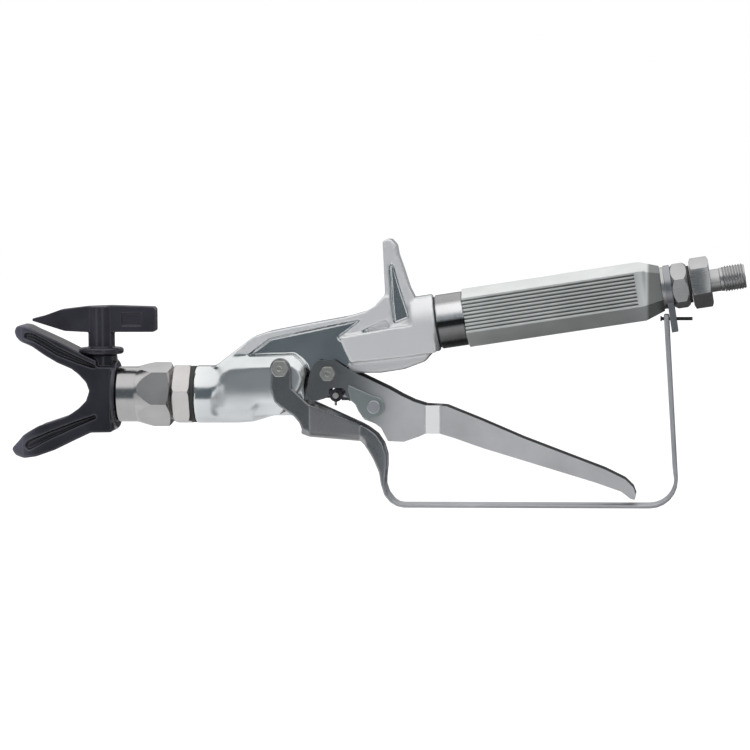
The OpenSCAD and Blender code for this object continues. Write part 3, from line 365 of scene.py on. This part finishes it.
finishes = {
    "guardPlastic": {"dull": (0.014, 0.014, 0.018), "bright": (0.024, 0.024, 0.031),
                     # painted shade in hollows, painted highlight on rims
                     "roughness": (0.17, 0.25), "bump": 0.06, "hollow": 0.2, "rim": 2.2,
                     # painted highlight: the wing noses are painted paler
                     "paintedLightAlong": ("X", -0.044, -0.030, 3.4)},
    "blackPlastic": {"dull": (0.020, 0.019, 0.026), "bright": (0.034, 0.032, 0.044),
                     "roughness": (0.20, 0.28), "bump": 0.08},
    "nickelSatin": {"dull": (0.56, 0.54, 0.53), "bright": (0.70, 0.68, 0.67),
                    "roughness": (0.22, 0.28), "grainStretch": (1, 12, 12), "grainScale": 420, "bump": 0.02},
    "nutNickel": {"dull": (0.44, 0.43, 0.43), "bright": (0.56, 0.55, 0.55),
                  "roughness": (0.18, 0.24), "grainStretch": (1, 12, 12), "grainScale": 420, "bump": 0.02},
    "castPolished": {"dull": (0.66, 0.69, 0.71), "bright": (0.88, 0.90, 0.90), "cloudScale": 32,
                     "roughness": (0.13, 0.19), "waves": 0.18, "waveScale": 55, "grainScale": 900,
                     "bump": 0.02,
                     "softRoughness": 0.30,
                     "softened": [{"x": (0.056, 0.062), "xEnd": (0.108, 0.100), "out": (0.0085, 0.0105),
                                   "z": (-0.030, -0.020)}],
                     # painted highlights on chosen faces of the casting
                     "highlightRoughness": 0.60,
                     "paintedHighlight": [
                         {"x": (0.118, 0.122), "xEnd": (0.176, 0.174), "out": (0.0138, 0.0143),
                          "z": (0, 0.01)},
                         {"x": (0.056, 0.060), "xEnd": (0.176, 0.174), "out": (0.0081, 0.0084),
                          "z": (0.0200, 0.0212)},
                         {"x": (0.136, 0.140), "xEnd": (0.163, 0.161), "out": (0.0070, 0.0074),
                          "z": (0.036, 0.040)},
                         {"x": (0.1350, 0.1360), "xEnd": (0.1475, 0.1465), "out": (0.0040, 0.0044),
                          "z": (0.0300, 0.0310), "zEnd": (0.0400, 0.0390)},
                         {"x": (0.124, 0.126), "xEnd": (0.172, 0.170), "out": (0.0057, 0.0061),
                          "z": (0, 0.004)},
                     ]},
    "strapZinc": {"dull": (0.56, 0.57, 0.59), "bright": (0.68, 0.69, 0.71),
                  # painted shade: the strap is painted darker towards its front
                  "paintedLightAlong": ("X", 0.130, 0.160, 0.50), "edgeTone": 0.03,
                  # painted highlight along the strap's lower fold
                  "highlightRoughness": 0.40,
                  "paintedHighlight": [{"x": (0.101, 0.104), "xEnd": (0.136, 0.130), "out": (-0.01, -0.005),
                                "z": (-0.20, -0.19), "zEnd": (-0.0192, -0.0212)}],
                  "roughness": (0.27, 0.33), "waves": 0.10, "waveScale": 40, "grainScale": 1200, "bump": 0.005,
                  "softRoughness": 0.52,
                  "softened": [{"x": (0.140, 0.154), "xEnd": (0.40, 0.39), "out": (-0.01, -0.005),
                                "z": (-0.20, -0.19)}]},
    "sheetZinc": {"dull": (0.50, 0.51, 0.54), "bright": (0.62, 0.63, 0.66),
                  "roughness": (0.36, 0.41), "waves": 0.10, "waveScale": 40, "grainScale": 1200, "bump": 0.015},
    "triggerZinc": {"dull": (0.72, 0.72, 0.73), "bright": (0.84, 0.84, 0.85),
                    # painted shade: the trigger's head is painted darker
                    "paintedLightAlong": ("X", 0.115, 0.160, 0.40),
                    # painted shade on the trigger sheet's edges
                    "rims": [{"x": (0.09, 0.10), "xEnd": (0.1640, 0.1630), "face": 0.0092},
                             {"x": (0.1708, 0.1718), "xEnd": (0.40, 0.39), "face": 0.0076}],
                    "roughness": (0.27, 0.33), "waves": 0.12, "waveScale": 40, "grainScale": 1200,
                    "bump": 0.010,
                    "softRoughness": 0.57,
                    "softened": [{"x": (0.126, 0.156), "xEnd": (0.40, 0.39), "out": (-0.01, -0.005),
                                  "z": (-0.20, -0.19)}],
                    # painted highlight on the trigger's joggle
                    "highlightRoughness": 0.25,
                    "paintedHighlight": [{"x": (0.1632, 0.1642), "xEnd": (0.1716, 0.1706), "out": (0.0060, 0.0065),
                                  "z": (-0.040, -0.038)}]},
    "lockZinc": {"dull": (0.46, 0.50, 0.50), "bright": (0.56, 0.60, 0.59),
                 "roughness": (0.30, 0.36), "waves": 0.05, "waveScale": 60, "grainScale": 1200, "bump": 0.015},
    "sheetDark": {"dull": (0.31, 0.32, 0.34), "bright": (0.42, 0.43, 0.45),
                  "roughness": (0.30, 0.38), "waves": 0.10, "waveScale": 40, "grainScale": 1200, "bump": 0.02},
    "gripSatin": {"dull": (0.68, 0.70, 0.69), "bright": (0.80, 0.82, 0.81),
                  "roughness": (0.46, 0.54), "grainStretch": (0.6, 14, 14), "grainScale": 160,
                  # painted shade: the grip's taper facets at the rear are painted darker
                  "tilt": gripTilt, "bump": 0.05, "edgeTone": 0.22, "paintedLightAlong": ("X", 0.2752, 0.2734, 0.34),
                  # painted shade in the grooves
                  "grooves": {"depth": (0.0125, 0.0118), "width": (0.0091, 0.0086), "end": (0.2740, 0.2720),
                              "shade": 0.62}},
    "ringPolished": {"dull": (0.84, 0.84, 0.85), "bright": (0.95, 0.95, 0.96),
                     "roughness": (0.26, 0.34), "grainScale": 700, "bump": 0.01, "bandSpan": (-0.0135, 0.0135),
                     # the label band, with painted reflection and shade above and below it
                     "bands": [(0.00, 0.06), (1.00, 0.42), (0.12, 0.10), (0.17, 0.34), (0.38, 0.30),
                               (0.43, 0.04), (0.51, 0.05), (0.56, 1.00), (0.80, 0.95), (0.86, 0.42)]},
    "boltSteel": {"dull": (0.62, 0.62, 0.58), "bright": (0.78, 0.78, 0.73),
                  "roughness": (0.28, 0.36), "grainScale": 900, "bump": 0.02},
    "rearSteel": {"dull": (0.44, 0.44, 0.44), "bright": (0.58, 0.58, 0.58),
                  "roughness": (0.26, 0.34), "grainStretch": (1, 10, 10), "grainScale": 380, "bump": 0.006},
    "groundCarbide": {"dull": (0.32, 0.32, 0.34), "bright": (0.44, 0.44, 0.46),
                      "roughness": (0.12, 0.20), "grainScale": 1500, "bump": 0.02},
    "springWire": {"dull": (0.40, 0.41, 0.43), "bright": (0.55, 0.56, 0.58),
                   "roughness": (0.22, 0.34), "grainScale": 1600, "bump": 0.02},
    "sealRubber": {"dull": (0.016, 0.016, 0.017), "bright": (0.030, 0.030, 0.031),
                   "roughness": (0.55, 0.72), "bump": 0.15, "grainScale": 1900},
}
mouldedNames = {"guardPlastic", "blackPlastic", "sealRubber"}
looks = {name: (mouldedFinish if name in mouldedNames else metalFinish)(name, values)
         for name, values in finishes.items()}
print("materials made:", len(looks))

nodeFinish = {
    "tip_handle": "blackPlastic", "tip_barrel": "nickelSatin", "tip_orifice": "groundCarbide",
    "tip_guard": "guardPlastic", "saddle_seal": "nickelSatin", "tip_gasket": "sealRubber",
    "retaining_nut": "nutNickel", "seat_housing": "nickelSatin", "valve_seat": "groundCarbide",
    "housing_seal": "sealRubber", "gun_body": "castPolished", "valve_ball": "groundCarbide",
    "needle": "nickelSatin", "return_spring": "springWire", "needle_packing": "sealRubber",
    "packing_nut": "sheetZinc", "cross_pin": "boltSteel", "pin_bushes": "blackPlastic",
    "pin_clip": "sealRubber", "needle_nut": "sheetDark", "trigger": "triggerZinc",
    "pivot_bolt": "boltSteel", "pivot_nut": "boltSteel", "lock_rivet": "sheetZinc",
    "trigger_lock": "lockZinc", "trigger_guard": "strapZinc", "guard_bolt": "boltSteel",
    "guard_bolt_nut": "boltSteel", "ring_seal": "sealRubber", "label_ring": "ringPolished",
    "fluid_tube": "rearSteel", "filter_screen": "gripSatin", "filter_spring_seat": "rearSteel",
    "grip": "gripSatin", "tail_fitting": "rearSteel", "tail_washer": "rearSteel",
    "guard_clip": "sheetDark", "clip_pin": "sealRubber", "lock_nut": "rearSteel",
    "swivel_seal": "sealRubber", "swivel_nut": "rearSteel", "spigot_seal": "sealRubber",
}
for nodeName, finishName in nodeFinish.items():
    mesh = nodes[nodeName].data
    mesh.materials.clear()
    mesh.materials.append(looks[finishName])
print("nodes finished:", len(nodeFinish))


# cast and moulded pieces, rounded all over

castPieces = {
    "gun_body": {"piece": "bodyCasting", "voxel": 0.00065, "rounds": 8,
                 "blend": {"from": 0.0545, "to": 0.0760, "run": 0.003, "rounds": 36}},
    "tip_guard": {"piece": "guardMoulding", "voxel": 0.00042, "rounds": 14,
                  "blend": {"from": -0.060, "to": -0.030, "run": 0.004, "rounds": 24}},
    "tip_handle": {"piece": "handleMoulding", "voxel": 0.00034, "rounds": 8},
    "trigger_guard": {"piece": "guardStrap", "voxel": 0.00042, "rounds": 7},
}


# the guard's sides are folded into its floor with a wide bend: its outer faces and its lower outline
guardFold = {"radius": 0.0036, "from": 0.095, "until": 0.1335, "face": [(0.1063, 0.0146), (0.1310, 0.0070)],
             "foot": [(0.1020, -0.0190), (0.1063, -0.0206), (0.1310, -0.0234), (0.1343, -0.0268)]}


def alongLine(points, x):
    x = min(max(x, points[0][0]), points[-1][0])
    for (x0, z0), (x1, z1) in zip(points, points[1:]):
        if x <= x1:
            return z0 + (z1 - z0) * (x - x0) / (x1 - x0)


def foldFoot(piece, values):
    radius = values["radius"]
    for vertex in piece.data.vertices:
        place = vertex.co
        if values["from"] < place.x < values["until"]:
            across = radius - (alongLine(values["face"], place.x) - abs(place.y))
            down = radius - (place.z - alongLine(values["foot"], place.x))
            reach = math.hypot(across, down)
            if across > 0 and down > 0 and reach > radius:
                draw = 1 - radius / reach
                place.y -= math.copysign(across * draw, place.y)
                place.z += down * draw


def rollUnder(piece, values):
    # the casting's lower sides curve in under it
    for vertex in piece.data.vertices:
        place = vertex.co
        along = min((place.x - values["from"]) / values["blend"],
                    (values["to"] - place.x) / values["blend"], 1)
        down = min((values["top"] - place.z) / values["depth"], 1)
        side = min((abs(place.y) - values["inner"]) / values["blend"], 1)
        if along > 0 and down > 0 and side > 0:
            share = along * along * (3 - 2 * along) * down * down * side
            place.y -= math.copysign(values["draw"] * share, place.y)


bodyRoll = {"from": 0.056, "to": 0.106, "blend": 0.005, "top": 0.004, "depth": 0.013, "inner": 0.0065,
            "draw": 0.0024}


def blendPart(piece, values):
    # one stretch of the piece flows together more softly than the rest
    group = piece.vertex_groups.new(name="blend")
    for vertex in piece.data.vertices:
        x = vertex.co.x
        weight = min((x - values["from"]) / values["run"], (values["to"] - x) / values["run"], 1)
        if weight > 0:
            group.add([vertex.index], weight, "REPLACE")
    addModifier(piece, "SMOOTH", {"factor": 0.5, "iterations": values["rounds"], "vertex_group": "blend"})
    piece.vertex_groups.clear()


def castPiece(nodeName, values):
    piece = copyOfNode(nodeName, values["piece"])
    addModifier(piece, "REMESH", {"mode": "VOXEL", "voxel_size": values["voxel"]})
    if nodeName == "gun_body":
        rollUnder(piece, bodyRoll)
    if nodeName == "trigger_guard":
        foldFoot(piece, guardFold)
    addModifier(piece, "SMOOTH", {"factor": 0.5, "iterations": values["rounds"]})
    if "blend" in values:
        blendPart(piece, values["blend"])
    finishPiece(piece, looks[nodeFinish[nodeName]])
    standFor(piece, nodeName)
    print("cast:", values["piece"], len(piece.data.polygons), "faces")


for nodeName, values in castPieces.items():
    castPiece(nodeName, values)


# machined and pressed pieces, with a small bevel on every edge

bevelPieces = {
    "retaining_nut": {"piece": "frontNut", "width": 0.00030, "smooth": 9, "limit": 12},
    "seat_housing": {"piece": "seatHex", "width": 0.00030},
    "grip": {"piece": "gripSleeve", "width": 0.00022, "limit": 22, "smooth": 20},
    "trigger": {"piece": "triggerPressing", "width": 0.00040, "smooth": 8},
    "trigger_lock": {"piece": "lockPlate", "width": 0.00040},
    "pivot_bolt": {"piece": "pivotBolt", "width": 0.00025},
    "guard_bolt": {"piece": "guardBolt", "width": 0.00030},
    "lock_rivet": {"piece": "lockRivet", "width": 0.00040},
    "guard_clip": {"piece": "clipPlate", "width": 0.00022},
    "lock_nut": {"piece": "tailNut", "width": 0.00030},
    "label_ring": {"piece": "plainRing", "width": 0.00015},
    "pivot_nut": {"piece": "pivotNut", "width": 0.00022},
    "guard_bolt_nut": {"piece": "guardNut", "width": 0.00025},
    "tail_washer": {"piece": "tailWasher", "width": 0.00015},
}


def bevelPiece(nodeName, values):
    piece = copyOfNode(nodeName, values["piece"])
    pick(piece)
    bpy.ops.object.mode_set(mode="EDIT")
    bpy.ops.mesh.select_all(action="SELECT")
    bpy.ops.mesh.dissolve_limited(angle_limit=math.radians(1.0))
    bpy.ops.object.mode_set(mode="OBJECT")
    finishPiece(piece, looks[nodeFinish[nodeName]], values.get("smooth", 30))
    addModifier(piece, "BEVEL", {"width": values["width"], "segments": 2, "limit_method": "ANGLE",
                                 "angle_limit": math.radians(values.get("limit", 28)),
                                 "use_clamp_overlap": True, "harden_normals": True})
    standFor(piece, nodeName)


for nodeName, values in bevelPieces.items():
    bevelPiece(nodeName, values)
print("bevelled pieces:", len(bevelPieces))


# return spring, copied from its node with a mesh of its own; nothing here shortens it as the trigger draws the
# needle back


def springPiece():
    piece = copyOfNode("return_spring", "returnSpring")
    finishPiece(piece, looks["springWire"])
    standFor(piece, "return_spring")
    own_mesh(piece)


springPiece()
print("spring made")


# hose fitting with its thread

hoseThread = {"crest": 0.00656, "root": 0.00580, "pitch": 0.001337,
              "from": 0.1420, "to": 0.1534, "end": 0.1538, "bore": 0.0025, "cut": 0.1412,
              "sunk": 0.0002, "fadeTurns": 1.2, "boreDepth": 0.010, "noseBevel": 0.0005, "nutBevel": 0.0003}


def turnToGrip(piece, along):
    # stands the piece's Z axis along the grip axis, at a distance from the grip's front end
    place = gripStart + gripAxis * along
    turn = gripAxis.to_track_quat("Z", "Y").to_matrix().to_4x4()
    piece.data.transform(Matrix.Translation(place) @ turn)


def threadHelix(values):
    clearSelection()
    bpy.ops.mesh.primitive_plane_add(size=0.002, location=(0, 0, 0))
    helix = bpy.context.object
    helix.name = "hoseThreadHelix"
    bpy.ops.object.mode_set(mode="EDIT")
    bpy.ops.mesh.delete(type="ONLY_FACE")
    bpy.ops.mesh.select_all(action="DESELECT")
    bpy.ops.object.mode_set(mode="OBJECT")
    helix.data.vertices[3].select = True
    bpy.ops.object.mode_set(mode="EDIT")
    bpy.ops.mesh.delete(type="VERT")
    bpy.ops.object.mode_set(mode="OBJECT")
    pitch = values["pitch"]
    foot = values["root"] - values["sunk"]
    # the two ends of the vee are at the root, and the vertex they share is the crest
    ends = {}
    for edge in helix.data.edges:
        for index in edge.vertices:
            ends[index] = ends.get(index, 0) + 1
    corners = sorted(ends, key=lambda index: ends[index])
    helix.data.vertices[corners[0]].co = (foot, 0, 0)
    helix.data.vertices[corners[1]].co = (foot, 0, pitch)
    helix.data.vertices[corners[2]].co = (values["crest"], 0, pitch / 2)
    turns = int((values["to"] - values["from"]) / pitch)
    addModifier(helix, "SCREW", {"axis": "Z", "screw_offset": pitch, "iterations": turns, "steps": 32,
                                 "render_steps": 32, "use_merge_vertices": True,
                                 "merge_threshold": 0.000002, "use_normal_calculate": True})
    top = turns * pitch + pitch
    paintedLightAlong = values["fadeTurns"] * pitch
    for vertex in helix.data.vertices:
        out = math.hypot(vertex.co.x, vertex.co.y)
        share = min(vertex.co.z / paintedLightAlong, (top - vertex.co.z) / paintedLightAlong, 1)
        wanted = foot + (out - foot) * max(share, 0)
        vertex.co.x *= wanted / out
        vertex.co.y *= wanted / out
    turnToGrip(helix, values["from"])
    return helix


def threadCore(values):
    length = values["end"] - values["cut"]
    clearSelection()
    bpy.ops.mesh.primitive_cylinder_add(vertices=64, radius=values["root"], depth=length,
                                        location=(0, 0, length / 2))
    core = bpy.context.object
    core.name = "hoseThreadCore"
    core.data.transform(core.matrix_world)
    core.matrix_world = Matrix.Identity(4)
    bpy.ops.object.mode_set(mode="EDIT")
    bpy.ops.mesh.select_all(action="DESELECT")
    bpy.ops.object.mode_set(mode="OBJECT")
    for face in core.data.polygons:
        face.select = face.normal.z > 0.9
    bpy.ops.object.mode_set(mode="EDIT")
    bpy.ops.mesh.inset(thickness=values["root"] - values["bore"])
    bpy.ops.mesh.extrude_region_move(TRANSFORM_OT_translate={"value": (0, 0, -values["boreDepth"])})
    bpy.ops.object.mode_set(mode="OBJECT")
    addModifier(core, "BEVEL", {"width": values["noseBevel"], "segments": 3, "limit_method": "ANGLE",
                                "angle_limit": math.radians(40)})
    turnToGrip(core, values["cut"])
    return core


def cutBeyond(piece, point, direction):
    # keeps what lies before the point, and closes the cut
    pick(piece)
    bpy.ops.object.mode_set(mode="EDIT")
    bpy.ops.mesh.select_all(action="SELECT")
    bpy.ops.mesh.bisect(plane_co=point, plane_no=direction, clear_outer=True, use_fill=True)
    bpy.ops.mesh.select_all(action="SELECT")
    bpy.ops.mesh.dissolve_limited(angle_limit=math.radians(1.0))
    bpy.ops.object.mode_set(mode="OBJECT")


def hoseFitting(values):
    piece = copyOfNode("swivel_nut", "hoseSwivel")
    cutBeyond(piece, gripStart + gripAxis * values["cut"], gripAxis)
    addModifier(piece, "BEVEL", {"width": values["nutBevel"], "segments": 2, "limit_method": "ANGLE",
                                 "angle_limit": math.radians(28)})
    parts = [threadHelix(values), threadCore(values)]
    pick(piece)
    for part in parts:
        part.select_set(True)
    bpy.ops.object.join()
    finishPiece(piece, looks["rearSteel"], 35)
    standFor(piece, "swivel_nut")
    print("hose fitting:", len(piece.data.polygons), "faces")


hoseFitting(hoseThread)


# floor, backdrop, lamp and camera

floorLook = {"height": -0.30, "middle": (0.14, 3.9), "size": (9, 10), "paint": 0.86, "lift": 0.60,
             "pale": 0.80, "paleAcross": (0.10, 0.20), "underDepth": (-0.42, -0.02), "under": (0.54, 0.12)}


def makeFloor(values):
    clearSelection()
    bpy.ops.mesh.primitive_plane_add(size=1, location=(0, 0, 0))
    floor = bpy.context.object
    floor.name = "floor"
    # it ends in front of the gun, where the studio is dark
    place = Matrix.Translation((*values["middle"], values["height"]))
    floor.data.transform(place @ Matrix.Diagonal((*values["size"], 1, 1)))
    material = bpy.data.materials.new("paleFloor")
    material.use_nodes = True
    tree = material.node_tree
    tree.nodes.clear()
    output = tree.nodes.new("ShaderNodeOutputMaterial")
    path = tree.nodes.new("ShaderNodeLightPath")
    paint = tree.nodes.new("ShaderNodeBsdfDiffuse")
    paint.inputs["Color"].default_value = (values["paint"],) * 3 + (1,)
    # painted shadow: seen from the gun, the floor is painted darker beneath it and pale in front of it
    where = tree.nodes.new("ShaderNodeTexCoord")
    parts = tree.nodes.new("ShaderNodeSeparateXYZ")
    tree.links.new(where.outputs["Object"], parts.inputs["Vector"])
    shade = tree.nodes.new("ShaderNodeBsdfDiffuse")
    under = rampOf(tree, parts.outputs["Y"], *values["underDepth"], *values["under"])
    rear = rampOf(tree, parts.outputs["X"], *values["paleAcross"])
    tree.links.new(mixValues(tree, rear, values["pale"], under), shade.inputs["Color"])
    lift = tree.nodes.new("ShaderNodeEmission")
    lift.inputs["Strength"].default_value = values["lift"]
    both = tree.nodes.new("ShaderNodeAddShader")
    seen = tree.nodes.new("ShaderNodeMixShader")
    tree.links.new(paint.outputs["BSDF"], both.inputs[0])
    tree.links.new(lift.outputs["Emission"], both.inputs[1])
    tree.links.new(path.outputs["Is Camera Ray"], seen.inputs["Fac"])
    tree.links.new(shade.outputs["BSDF"], seen.inputs[1])
    tree.links.new(both.outputs["Shader"], seen.inputs[2])
    tree.links.new(seen.outputs["Shader"], output.inputs["Surface"])
    floor.data.materials.append(material)


# each panel is given by its left and right ends and its lower and upper ends
roomLook = {"darkFront": (0.112, 0.134, 0.148), "greyBehind": (0.36, 0.36, 0.37), "turnsGrey": (-0.20, 0.30),
            "panel": (1.0, 1.0, 1.0), "panels": [(0.18, 0.46, -0.25, 1.2), (-0.70, -0.42, -0.30, 0.12)],
            "sideBlur": 0.06, "heightBlur": 0.08, "panelDepth": (-0.3, -0.5), "roofFrom": (0.38, 0.58),
            "soft": (0.97, 0.98, 1.0), "softStrength": 0.62}


def makeWorld(values):
    world = bpy.data.worlds.new("studio")
    bpy.context.scene.world = world
    world.use_nodes = True
    tree = world.node_tree
    tree.nodes.clear()
    output = tree.nodes.new("ShaderNodeOutputWorld")
    where = tree.nodes.new("ShaderNodeTexCoord")
    parts = tree.nodes.new("ShaderNodeSeparateXYZ")
    tree.links.new(where.outputs["Generated"], parts.inputs["Vector"])
    across, depth, height = parts.outputs["X"], parts.outputs["Y"], parts.outputs["Z"]

    # a dark room in front, a grey one behind, a bright roof, and a panel on each side of the camera
    side, tall = values["sideBlur"], values["heightBlur"]
    behind = rampOf(tree, depth, *values["turnsGrey"])
    mirrored = blendColours(tree, behind, values["darkFront"], values["greyBehind"])
    for left, right, low, high in values["panels"]:
        inPanel = rampOf(tree, across, left, left + side)
        for limit in (rampOf(tree, across, right, right - side), rampOf(tree, height, low, low + tall),
                      rampOf(tree, height, high, high - tall), rampOf(tree, depth, *values["panelDepth"])):
            inPanel = joinValues(tree, "MULTIPLY", inPanel, limit)
        mirrored = blendColours(tree, inPanel, mirrored, values["panel"])
    mirrored = blendColours(tree, rampOf(tree, height, *values["roofFrom"]), mirrored, (1, 1, 1))
    path = tree.nodes.new("ShaderNodeLightPath")
    room = tree.nodes.new("ShaderNodeBackground")
    tree.links.new(mirrored, room.inputs["Color"])
    soft = tree.nodes.new("ShaderNodeBackground")
    soft.inputs["Color"].default_value = (*values["soft"], 1)
    soft.inputs["Strength"].default_value = values["softStrength"]
    white = tree.nodes.new("ShaderNodeBackground")
    white.inputs["Color"].default_value = (1, 1, 1, 1)
    glossy = tree.nodes.new("ShaderNodeMixShader")
    camera = tree.nodes.new("ShaderNodeMixShader")
    tree.links.new(path.outputs["Is Glossy Ray"], glossy.inputs["Fac"])
    tree.links.new(soft.outputs["Background"], glossy.inputs[1])
    tree.links.new(room.outputs["Background"], glossy.inputs[2])
    tree.links.new(path.outputs["Is Camera Ray"], camera.inputs["Fac"])
    tree.links.new(glossy.outputs["Shader"], camera.inputs[1])
    tree.links.new(white.outputs["Background"], camera.inputs[2])
    tree.links.new(camera.outputs["Shader"], output.inputs["Surface"])


keyLamp = {"place": (-0.25, -0.55, 0.95), "target": (0.14, 0, 0), "size": 0.7, "power": 9.0}


def addLamp(name, values):
    light = bpy.data.lights.new(name, "AREA")
    light.size = values["size"]
    light.energy = values["power"]
    lamp = bpy.data.objects.new(name, light)
    lamp.location = values["place"]
    beam = Vector(values["target"]) - Vector(values["place"])
    lamp.rotation_euler = beam.to_track_quat("-Z", "Y").to_euler()
    # the metal mirrors the room, and the lamp lights the plastic and the floor
    lamp.visible_glossy = False
    bpy.context.scene.collection.objects.link(lamp)


cameraView = {"turn": 5.4, "rise": 4.0, "roll": -0.40, "distance": 1.7, "target": (0.1381, 0, 0.0095),
              "lens": 163.2, "sensor": 36, "clip": (0.05, 60)}


def makeCamera(values):
    # seen from a little to the right of square on and a little above
    turn, rise, roll = (math.radians(values[key]) for key in ("turn", "rise", "roll"))
    back = Vector((math.sin(turn) * math.cos(rise), -math.cos(turn) * math.cos(rise), math.sin(rise)))
    levelRight = Vector((math.cos(turn), math.sin(turn), 0))
    levelUp = back.cross(levelRight)
    right = levelRight * math.cos(roll) + levelUp * math.sin(roll)
    up = levelUp * math.cos(roll) - levelRight * math.sin(roll)
    place = Vector(values["target"]) + back * values["distance"]
    lens = bpy.data.cameras.new("camera")
    lens.lens = values["lens"]
    lens.sensor_width = values["sensor"]
    lens.clip_start, lens.clip_end = values["clip"]
    camera = bpy.data.objects.new("camera", lens)
    camera.matrix_world = Matrix(((right.x, up.x, back.x, place.x), (right.y, up.y, back.y, place.y),
                                  (right.z, up.z, back.z, place.z), (0, 0, 0, 1)))
    bpy.context.scene.collection.objects.link(camera)
    bpy.context.scene.camera = camera


makeFloor(floorLook)
makeWorld(roomLook)
addLamp("keyLamp", keyLamp)
makeCamera(cameraView)
bpy.context.scene.view_settings.view_transform = "Standard"
print("studio set")
